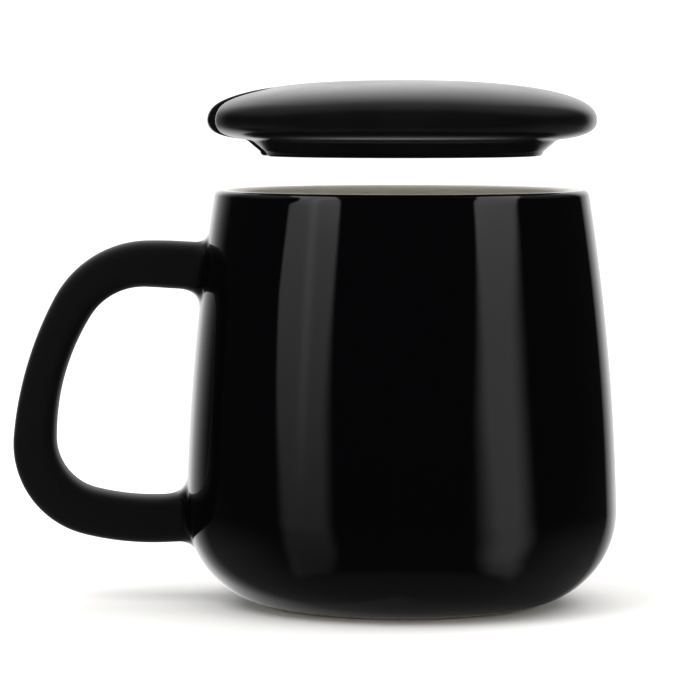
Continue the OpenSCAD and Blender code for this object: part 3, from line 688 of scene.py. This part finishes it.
# Finishes of the pieces sealed under the floor. "size" is the pattern's real size, "slow" the distance over
# which tone and sheen drift, and "height" the depth of the surface's relief.
insideFinishes = {
    # silicone gap pad, calendered between woven liners: a soft blue-grey skin with the liner's ribs in it
    "calenderedSilicone": {
        "nodes": ("thermal_pad",), "kind": "TexWave", "size": 0.8, "settings": {"bands_direction": "X"},
        "tones": ("#a6b8cc", "#b7c8da"), "rough": (0.5, 0.66), "height": 0.02, "slow": 6, "IOR": 1.41},
    # rolled aluminium sheet: bright, with fine streaks along the rolling
    "rolledAluminium": {
        "nodes": ("heat_spreader",), "kind": "TexNoise", "size": 0.5, "stretch": (0.03, 1, 1),
        "tones": ("#d4d6d9", "#eceded"), "rough": (0.24, 0.4), "height": 0.004, "slow": 9, "Metallic": 1.0},
    # polyimide film over an etched foil: glossy amber, with the foil's rings showing darker through it
    "etchedFoilFilm": {
        "nodes": ("heating_film",), "kind": "TexWave", "size": 1.6,
        "settings": {"wave_type": "RINGS", "rings_direction": "Z"},
        "tones": ("#7d4417", "#ce9145"), "rough": (0.14, 0.24), "height": 0.03, "slow": 7, "IOR": 1.7},
    # epoxy-dipped bead: wet-looking green with small sags
    "dippedEpoxy": {
        "nodes": ("temperature_sensor",), "kind": "TexNoise", "size": 1.2,
        "tones": ("#4f8566", "#68a07d"), "rough": (0.1, 0.2), "height": 0.03, "slow": 2, "IOR": 1.55},
    # fuse in a moulded off-white case; its tabs, out past the case's ends, are tinned
    "mouldedFuseCase": {
        "nodes": ("thermal_cutoff",), "kind": "TexNoise", "size": 0.25, "tin": ("x", -6.0, 3.0),
        "tones": ("#dcdcd4", "#ebebe4"), "rough": (0.42, 0.55), "height": 0.006, "slow": 3},
    # pressed wool felt: matted fibres, no gloss at all
    "pressedFelt": {
        "nodes": ("insulation_disc",), "kind": "TexNoise", "size": 0.6, "distortion": 2.5,
        "tones": ("#c9c3b4", "#ece8de"), "rough": (0.9, 1.0), "height": 0.12, "slow": 5},
    # extruded silicone rubber: dull red, drawn along the lead
    "extrudedSilicone": {
        "nodes": ("heater_leads",), "kind": "TexNoise", "size": 0.2, "stretch": (1, 1, 0.1),
        "tones": ("#a52f28", "#bb3d34"), "rough": (0.45, 0.6), "height": 0.006, "slow": 2, "IOR": 1.41},
    # glass-epoxy laminate under solder mask: the cloth's weave shows faintly in the green
    "maskedLaminate": {
        "nodes": ("circuit_board",), "kind": "TexWave", "size": 0.6,
        "settings": {"bands_direction": "DIAGONAL"},
        "tones": ("#205a35", "#2b7145"), "rough": (0.22, 0.34), "height": 0.008, "slow": 4, "IOR": 1.55},
    # transfer-moulded epoxy: dark grey with the mould's fine grit
    "mouldedEpoxy": {
        "nodes": ("control_chips",), "kind": "TexNoise", "size": 0.15,
        "tones": ("#29292a", "#353536"), "rough": (0.5, 0.62), "height": 0.006, "slow": 2},
    # fired ceramic blocks with tinned ends: they stand on a circle, so the ends are the parts nearest to the
    # axis and farthest from it
    "firedTitanate": {
        "nodes": ("storage_capacitors",), "kind": "TexNoise", "size": 0.2, "tin": ("r", 12.6, 0.8),
        "tones": ("#a98f6c", "#c2ac8b"), "rough": (0.35, 0.5), "height": 0.008, "slow": 1},
    # pressed iron powder: dull grey with a coarse grain
    "pressedPowder": {
        "nodes": ("power_inductor",), "kind": "TexVoronoi", "size": 0.3, "out": "Distance",
        "tones": ("#525254", "#6b6b6d"), "rough": (0.6, 0.75), "height": 0.015, "slow": 2},
    # glass-filled nylon: near black, fibres drifting a little lighter in it
    "glassFilledNylon": {
        "nodes": ("module_tray",), "kind": "TexNoise", "size": 0.5, "distortion": 1.2,
        "tones": ("#38383b", "#4b4b4e"), "rough": (0.4, 0.56), "height": 0.008, "slow": 8, "IOR": 1.53},
    # cured bead of silicone: pale and slightly rippled by the nozzle
    "curedSilicone": {
        "nodes": ("bond_ring",), "kind": "TexNoise", "size": 2.5,
        "tones": ("#cfcfcb", "#dededb"), "rough": (0.3, 0.42), "height": 0.06, "slow": 8, "IOR": 1.41},
    # sintered ferrite sheet, scored so that it bends: small dark tiles
    "sinteredFerrite": {
        "nodes": ("ferrite_shield",), "kind": "TexVoronoi", "size": 2.0, "out": "Distance",
        "settings": {"feature": "DISTANCE_TO_EDGE"},
        "tones": ("#26292b", "#434649"), "rough": (0.3, 0.45), "height": 0.03, "slow": 6},
    # enamelled copper wire: bright metal under a clear coat, deeper where the enamel is thick
    "enamelledCopper": {
        "nodes": ("receiver_coil", "coil_leads"), "kind": "TexNoise", "size": 1.5,
        "tones": ("#c8804f", "#e3ab80"), "rough": (0.16, 0.28), "height": 0.004, "slow": 5,
        "Metallic": 1.0, "Coat Weight": 0.7},
    # moulded silicone cord: brick red with a dry bloom
    "mouldedSilicone": {
        "nodes": ("base_gasket",), "kind": "TexNoise", "size": 0.8,
        "tones": ("#9c4034", "#b55245"), "rough": (0.5, 0.65), "height": 0.01, "slow": 5, "IOR": 1.41},
    # ABS moulded in a spark-eroded tool: near black with a fine even pebble that takes the shine off. The
    # pebble is 0.1 mm in a real tool and is drawn at 0.4 mm, so that it shows.
    "sparkTexturedAbs": {
        "nodes": ("base_cover",), "kind": "TexNoise", "size": 0.4,
        "tones": ("#232324", "#303031"), "rough": (0.42, 0.52), "height": 0.02, "slow": 10, "IOR": 1.54},
    # passivated stainless steel: silvery, with faint turning marks
    "passivatedSteel": {
        "nodes": ("cover_screws",), "kind": "TexNoise", "size": 0.3, "stretch": (1, 1, 0.3),
        "tones": ("#c2c2c3", "#d9d9da"), "rough": (0.2, 0.34), "height": 0.003, "slow": 2, "Metallic": 1.0},
}
# How many pattern units Blender's textures put into one unit of their Scale
patternRate = {"TexNoise": 1.0, "TexVoronoi": 1.0, "TexWave": np.pi / 10}
tin = {"colour": "#d3d0c8", "edge": 0.04}


def dressInside(name, finish):
    # One pattern at its real size gives tone and relief, and a slow drift of the same surface the sheen
    material, tree, shader, coords = newMaterial(name)
    at = addNode(tree, "Mapping", {"Vector": coords, "Scale": finish.get("stretch", (1, 1, 1))}).outputs[0]
    inputs = {"Vector": at, "Scale": patternRate[finish["kind"]] / (finish["size"] * mm)}
    if "distortion" in finish:
        inputs["Distortion"] = finish["distortion"]
    fine = addNode(tree, finish["kind"], inputs, **finish.get("settings", {}))
    fine = fine.outputs[finish.get("out", "Fac")]
    slow = addNode(tree, "TexNoise", noiseOf(coords, finish["slow"], 2.0)).outputs[0]
    blend = addNode(tree, "Mix", {0: 0.35, 2: fine, 3: slow}).outputs[0]
    dark, light = (linear(tone) for tone in finish["tones"])
    colour = addNode(tree, "ValToRGB", {0: blend}, [(0.25, dark), (0.75, light)]).outputs[0]
    rough = addNode(tree, "MapRange", ranged(slow, noiseSpan, finish["rough"])).outputs[0]
    bump = addNode(tree, "Bump", {"Height": fine, "Distance": finish["height"] * mm, "Strength": 1.0})
    if "tin" in finish:
        # bare tinned metal beyond a distance from a middle value of x or of the radius
        way, middle, half = finish["tin"]
        axes = addNode(tree, "SeparateXYZ", {0: coords}).outputs
        where = axes[0]
        if way == "r":
            level = addNode(tree, "CombineXYZ", {0: axes[0], 1: axes[1]}).outputs[0]
            where = addNode(tree, "VectorMath", {0: level}, operation="LENGTH").outputs["Value"]
        off = addNode(tree, "Math", {0: where, 1: middle * mm}, operation="SUBTRACT").outputs[0]
        off = addNode(tree, "Math", {0: off}, operation="ABSOLUTE").outputs[0]
        span = (half * mm, (half + tin["edge"]) * mm)
        bare = addNode(tree, "MapRange", ranged(off, span, (0.0, 1.0))).outputs[0]
        colour = addNode(tree, "Mix", {0: bare, 6: colour, 7: linear(tin["colour"])}, data_type="RGBA")
        colour = colour.outputs[2]
        connect(tree, shader, {"Metallic": bare})
    connect(tree, shader, {"Base Color": colour, "Roughness": rough, "Normal": bump.outputs[0]})
    for socket in ("IOR", "Metallic", "Coat Weight"):
        if socket in finish:
            shader.inputs[socket].default_value = finish[socket]
    for node in finish["nodes"]:
        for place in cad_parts[node].material_slots:
            place.material = material


for name, finish in insideFinishes.items():
    dressInside(name, finish)
print("inner finishes made")

# Directions are azimuths from the camera's side of the room, positive to the right, and elevations
studio = {
    "room": 1.4,  # brightness of the white room as light
    # the white wall in reflections: where it starts and where it is full, its brightness and how steeply it
    # sets in; then the elevations between which it gains on a share of that, going up from the floor
    "leftEdge": (124.0, 158.0, 1.35, 2.0), "leftFoot": (-50.0, -10.0, 0.12),
    "rightEdge": (140.5, 157.0, 1.1, 0.7), "rightFoot": (-22.0, -7.0, 0.1),
    "sideBlend": 0.12, "wallTop": (12.0, 60.0),
    # what the dark part of the room still gives back: in front, lower down in front and behind, and straight
    # under, with the elevations between which they change over
    "front": 0.012, "low": (0.018, 0.1), "underneath": 0.085,
    "lowTop": (-25.0, -3.0), "underTop": (-62.0, -50.0),
    "overhead": 0.26, "overHigh": (0.1, 0.8),
    "frontToBack": (-0.5, 0.3),
    # each softbox as rows of (elevation, left azimuth, right azimuth, brightness, fade at the left, at the
    # right)
    "leftBox": (
        (69, -150, -104, 1.3, 8, 8), (66, -148, -77, 1.4, 8, 6), (62, -145, -64, 1.5, 8, 4),
        (56, -138, -57, 1.5, 6, 2), (47, -85.5, -48, 1.5, 3, 2), (36, -74.6, -42.5, 1.5, 2, 2),
        (26, -70, -39.5, 1.4, 2, 2), (16, -67, -37.6, 1.2, 2, 2), (13.5, -74, -37.8, 0.8, 2, 2.5),
        (8, -75.5, -38.2, 0.6, 1.5, 5), (3, -73.6, -36.8, 0.46, 3, 9), (-3, -70.8, -35, 0.29, 8, 9),
        (-8, -69, -33.5, 0.22, 8, 9), (-28, -72.5, -33.5, 0.165, 8, 9), (-38, -77, -36, 0.14, 8, 10),
        (-49, -88, -43, 0.115, 9, 11), (-58, -100, -52, 0.07, 9, 11),
    ),
    "rightBox": (
        (67, 104, 150, 1.3, 8, 8), (62, 79, 146, 1.4, 4, 8), (56, 65, 140, 1.4, 3, 6),
        (47, 56, 105, 1.4, 2, 3), (36, 50, 87, 1.4, 2, 2), (26, 46.5, 79.5, 1.4, 2, 2),
        (16, 43.4, 76.2, 1.3, 2, 2), (13.5, 43.3, 75.4, 1.0, 2, 3), (8, 39.4, 74.5, 0.77, 8, 13),
        (3, 36.2, 74, 0.73, 12, 14), (-3, 35.5, 76.5, 0.68, 18, 16), (-8, 35.5, 78.5, 0.63, 20, 17),
        (-28, 38, 82, 0.62, 20, 18), (-38, 41, 86, 0.52, 20, 20), (-49, 49, 100, 0.27, 20, 22),
        (-58, 62, 114, 0.1, 20, 22),
    ),
    "boxDistance": 8.0, "boxGrid": (110, 60), "topFade": 3.0, "footFade": 9.0,
    # the left softbox's lamp shows through as a brighter line: azimuth, width, share, and where it starts
    "ridge": (-55.5, 3.0, 0.4), "ridgeFoot": (-5.0, 5.0),
}


def makeRoom():
    # A white room as light. In reflections its front is dark, so that black glaze stays black, and its back
    # wall is white: from a sharp edge on the right, from a soft one on the left, and fading upwards and
    # towards the floor.
    world = bpy.data.worlds.new("room")
    bpy.context.scene.world = world
    tree = emptyTree(world)
    x, y, z = addNode(tree, "SeparateXYZ", {0: addNode(tree, "TexCoord").outputs["Generated"]}).outputs
    # azimuth from straight behind, so a front azimuth of 124 degrees is 56 here
    behind = addNode(tree, "Math", {0: x, 1: y}, operation="ARCTAN2")
    behind = addNode(tree, "Math", {0: behind.outputs[0]}, operation="ABSOLUTE").outputs[0]
    height = addNode(tree, "Math", {0: z}, operation="ARCSINE").outputs[0]
    halves = []
    for half in ("left", "right"):
        start, full, level, power = studio[half + "Edge"]
        bottom, top, share = studio[half + "Foot"]
        span = np.radians((180 - start, 180 - full))
        rise = addNode(tree, "MapRange", ranged(behind, span, (0.0, level ** (1 / power))))
        rise = addNode(tree, "Math", {0: rise.outputs[0], 1: power}, operation="POWER").outputs[0]
        foot = addNode(tree, "MapRange", ranged(height, np.radians((bottom, top)), (share, 1.0)))
        halves.append(addNode(tree, "Math", {0: foot.outputs[0], 1: rise}, operation="MULTIPLY").outputs[0])
    eased = {"interpolation_type": "SMOOTHSTEP"}
    blend = studio["sideBlend"]
    side = addNode(tree, "MapRange", ranged(x, (-blend, blend), (0.0, 1.0)), **eased)
    wall = addNode(tree, "Mix", {0: side.outputs[0], 2: halves[0], 3: halves[1]})
    fade = addNode(tree, "MapRange", ranged(height, np.radians(studio["wallTop"]), (1.0, 0.0)))
    wall = addNode(tree, "Math", {0: wall.outputs[0], 1: fade.outputs[0]}, operation="MULTIPLY")
    back = addNode(tree, "MapRange", ranged(y, studio["frontToBack"], (0.0, studio["overhead"])), **eased)
    high = addNode(tree, "MapRange", ranged(z, studio["overHigh"], (0.0, 1.0)), **eased)
    over = addNode(tree, "Math", {0: back.outputs[0], 1: high.outputs[0]}, operation="MULTIPLY")
    low = addNode(tree, "MapRange", ranged(y, studio["frontToBack"], studio["low"]), **eased)
    fade = addNode(tree, "MapRange", ranged(height, np.radians(studio["underTop"]), (0.0, 1.0)))
    low = addNode(tree, "Mix", {0: fade.outputs[0], 2: studio["underneath"], 3: low.outputs[0]})
    fade = addNode(tree, "MapRange", ranged(height, np.radians(studio["lowTop"]), (0.0, 1.0)))
    dark = addNode(tree, "Mix", {0: fade.outputs[0], 2: low.outputs[0], 3: studio["front"]})
    seen = addNode(tree, "Math", {0: wall.outputs[0], 1: over.outputs[0]}, operation="ADD")
    seen = addNode(tree, "Math", {0: seen.outputs[0], 1: dark.outputs[0]}, operation="MAXIMUM")
    rays = addNode(tree, "LightPath")
    level = addNode(tree, "Mix", {0: rays.outputs["Is Glossy Ray"], 2: studio["room"], 3: seen.outputs[0]})
    glow = addNode(tree, "Background", {"Color": grey(1.0), "Strength": level.outputs[0]})
    addNode(tree, "OutputWorld", {"Surface": glow.outputs[0]})


def stageMaterial(name):
    # A glow as bright as the mesh's layer "glow" says, and a clear shader to blend it with
    material = bpy.data.materials.new(name)
    tree = emptyTree(material)
    glow = addNode(tree, "Attribute", attribute_name="glow", attribute_type="GEOMETRY").outputs["Fac"]
    glow = addNode(tree, "Emission", {"Color": grey(1.0), "Strength": glow}).outputs[0]
    return material, tree, glow, addNode(tree, "BsdfTransparent").outputs[0]


def stagePiece(name, points, faces, layers, material):
    # A mesh in metres that only reflections see
    mesh = bpy.data.meshes.new(name)
    mesh.from_pydata(points.reshape(-1, 3).tolist(), [], faces)
    setLayers(mesh, layers)
    mesh.materials.append(material)
    piece = addObject(name, mesh)
    piece.visible_camera = piece.visible_diffuse = piece.visible_shadow = piece.visible_transmission = False
    return piece


def makeSoftbox(name, rows):
    # A far strip of light: the point at azimuth a and elevation e lies at (sin a, -cos a, tan e) times the
    # distance. Its brightness fades in from every side by a smooth step.
    down, across = studio["boxGrid"]
    table = np.array(rows, dtype=float)[::-1].T
    elevation = np.linspace(table[0, -1], table[0, 0], down)
    start, end, level, fadeIn, fadeOut = (np.interp(elevation, table[0], row)[:, None] for row in table[1:])
    share = np.linspace(0, 1, across)[None]
    azimuth = start + share * (end - start)
    fade = smooth((azimuth - start) / fadeIn) * smooth((end - azimuth) / fadeOut)
    fade = fade * smooth((elevation[0] - elevation) / studio["topFade"])[:, None]
    fade = fade * smooth((elevation - elevation[-1]) / studio["footFade"])[:, None]
    at, width, more = studio["ridge"]
    bottom, top = studio["ridgeFoot"]
    line = np.exp(-((azimuth - at) / width) ** 2) * smooth((elevation - bottom) / (top - bottom))[:, None]
    height = np.tan(np.radians(elevation))[:, None] + 0 * azimuth
    points = np.stack([sinD(azimuth), -cosD(azimuth), height], axis=-1) * studio["boxDistance"]
    i, j = np.meshgrid(np.arange(down - 1), np.arange(across - 1), indexing="ij")
    corner = (i * across + j).ravel()
    quads = np.stack([corner, corner + 1, corner + across + 1, corner + across], axis=-1)
    material, tree, glow, clear = stageMaterial(name)
    both = addNode(tree, "AddShader", {0: glow, 1: clear})
    addNode(tree, "OutputMaterial", {"Surface": both.outputs[0]})
    return stagePiece(name, points, quads.tolist(), {"glow": fade * (1 + more * line) * level}, material)


# Flat discs of painted shade that only reflections see. One lies under the mug: a painted shadow that takes
# the place of the floor's contact shadow in the glaze.
# The other lies across the mug's mouth, facing the lid: a dark sheet that keeps the pale liner out of the
# lid's underside. "shift" is along X, "radii" are where the cover starts to fall and where it ends, and
# "glow" is the brightness at places across. "patch" is the width and brightness of a pale middle: a painted
# glint that draws the light line between the lid's cap and its ring.
shades = {
    # painted shadow: a dark disc reflected in the glaze's lower edge as the floor's contact shadow, lighter
    # on the left than on the right
    "floorShade": {"height": 0.1, "shift": 1.5, "radii": (30.0, 45.0),
                   "glow": ((-30, 10, 30), (0.125, 0.1, 0.035)), "patch": (10.0, 0.0)},
    # painted shade across the mouth: a dark sheet in the lid's reflections, with a painted glint in its
    # middle that shows as a light line on the lid's seam
    "mouthShade": {"height": 89.05, "shift": 0.0, "radii": (39.0, 39.8),
                   "glow": ((-40, 40), (0.006, 0.006)), "patch": (12.0, 8.0)},
}
shadeGrid = (25, 96)


def makeShade(name, shade):
    # Its points are (shift + r cos a, r sin a). Its cover falls by a smooth step. It is clear from below.
    start, end = shade["radii"]
    across, around = shadeGrid
    turn = np.linspace(0, 2 * np.pi, around, endpoint=False)
    radii = np.linspace(1, end, across)[:, None]
    x, y = shade["shift"] + radii * np.cos(turn), radii * np.sin(turn)
    points = np.stack([x, y, np.full_like(x, shade["height"])], axis=-1) * mm
    i, j = np.meshgrid(np.arange(across - 1), np.arange(around), indexing="ij")
    k = (j + 1) % around
    quads = np.stack([i * around + j, (i + 1) * around + j, (i + 1) * around + k, i * around + k], axis=-1)
    # the patch is a painted glint: a glowing spot in the disc's middle that the lid's cap and ring reflect
    # as a light line
    width, level = shade["patch"]
    layers = {
        "glow": np.interp(x, *shade["glow"]) + level * np.exp(-(radii / width) ** 2),
        "cover": smooth((end - radii) / (end - start)) + 0 * x,
    }
    material, tree, glow, clear = stageMaterial(name)
    cover = addNode(tree, "Attribute", attribute_name="cover", attribute_type="GEOMETRY").outputs["Fac"]
    below = addNode(tree, "NewGeometry").outputs["Backfacing"]
    cover = addNode(tree, "Mix", {0: below, 2: cover, 3: 0.0}).outputs[0]
    both = addNode(tree, "MixShader", {0: cover, 1: clear, 2: glow})
    addNode(tree, "OutputMaterial", {"Surface": both.outputs[0]})
    return stagePiece(name, points, quads.reshape(-1, 4).tolist() + [list(range(around))], layers, material)


floorFinish = {"tones": ("#f2f1ee", "#f6f5f3"), "cloudScale": 3.0, "rough": 0.9, "half": 6.0}


def makeFloor():
    # Smooth pale studio floor, matt, left out of reflections
    material, tree, shader, coords = newMaterial("paleFloor")
    cloud = addNode(tree, "TexNoise", {"Vector": coords, "Scale": floorFinish["cloudScale"], "Detail": 2.0})
    dark, light = (linear(tone) for tone in floorFinish["tones"])
    tone = addNode(tree, "ValToRGB", {0: cloud.outputs[0]}, [(0.0, dark), (1.0, light)])
    connect(tree, shader, {"Base Color": tone.outputs[0]})
    shader.inputs["Roughness"].default_value = floorFinish["rough"]
    corners = floorFinish["half"] * np.array([(-1, -1, 0), (1, -1, 0), (1, 1, 0), (-1, 1, 0)])
    mesh = bpy.data.meshes.new("floor")
    mesh.from_pydata(corners.tolist(), [], [(0, 1, 2, 3)])
    mesh.materials.append(material)
    floor = addObject("floor", mesh)
    floor.visible_glossy = False
    return floor


# Place in metres, size and power
lamps = {
    "keyLamp": ((-0.8, -0.9, 1.4), 1.0, 10.0),
    "fillLamp": ((1.0, 0.6, 1.5), 1.2, 6.0),
}
lampAim = (0, 0, 0.06)


def makeLamp(name, place, size, power):
    # A soft lamp aimed at the mug's middle, left out of reflections, which the softboxes and the room give
    light = bpy.data.lights.new(name, "AREA")
    light.shape, light.size, light.energy = "DISK", size, power
    lamp = addObject(name, light)
    lamp.location = place
    lamp.rotation_euler = (Vector(lampAim) - Vector(place)).to_track_quat("-Z", "Y").to_euler()
    lamp.visible_glossy = lamp.visible_camera = False
    return lamp


makeRoom()
boxes = [makeSoftbox("leftSoftbox", studio["leftBox"]), makeSoftbox("rightSoftbox", studio["rightBox"])]
# the softboxes light the mug's gloss alone; the satin lid and the softer loop take the room
gloss = bpy.data.collections.new("glossPieces")
gloss.objects.link(mugShell)
for box in boxes:
    box.light_linking.receiver_collection = gloss
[makeShade(name, shade) for name, shade in shades.items()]
makeFloor()
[makeLamp(name, *lamp) for name, lamp in lamps.items()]
print("studio made")
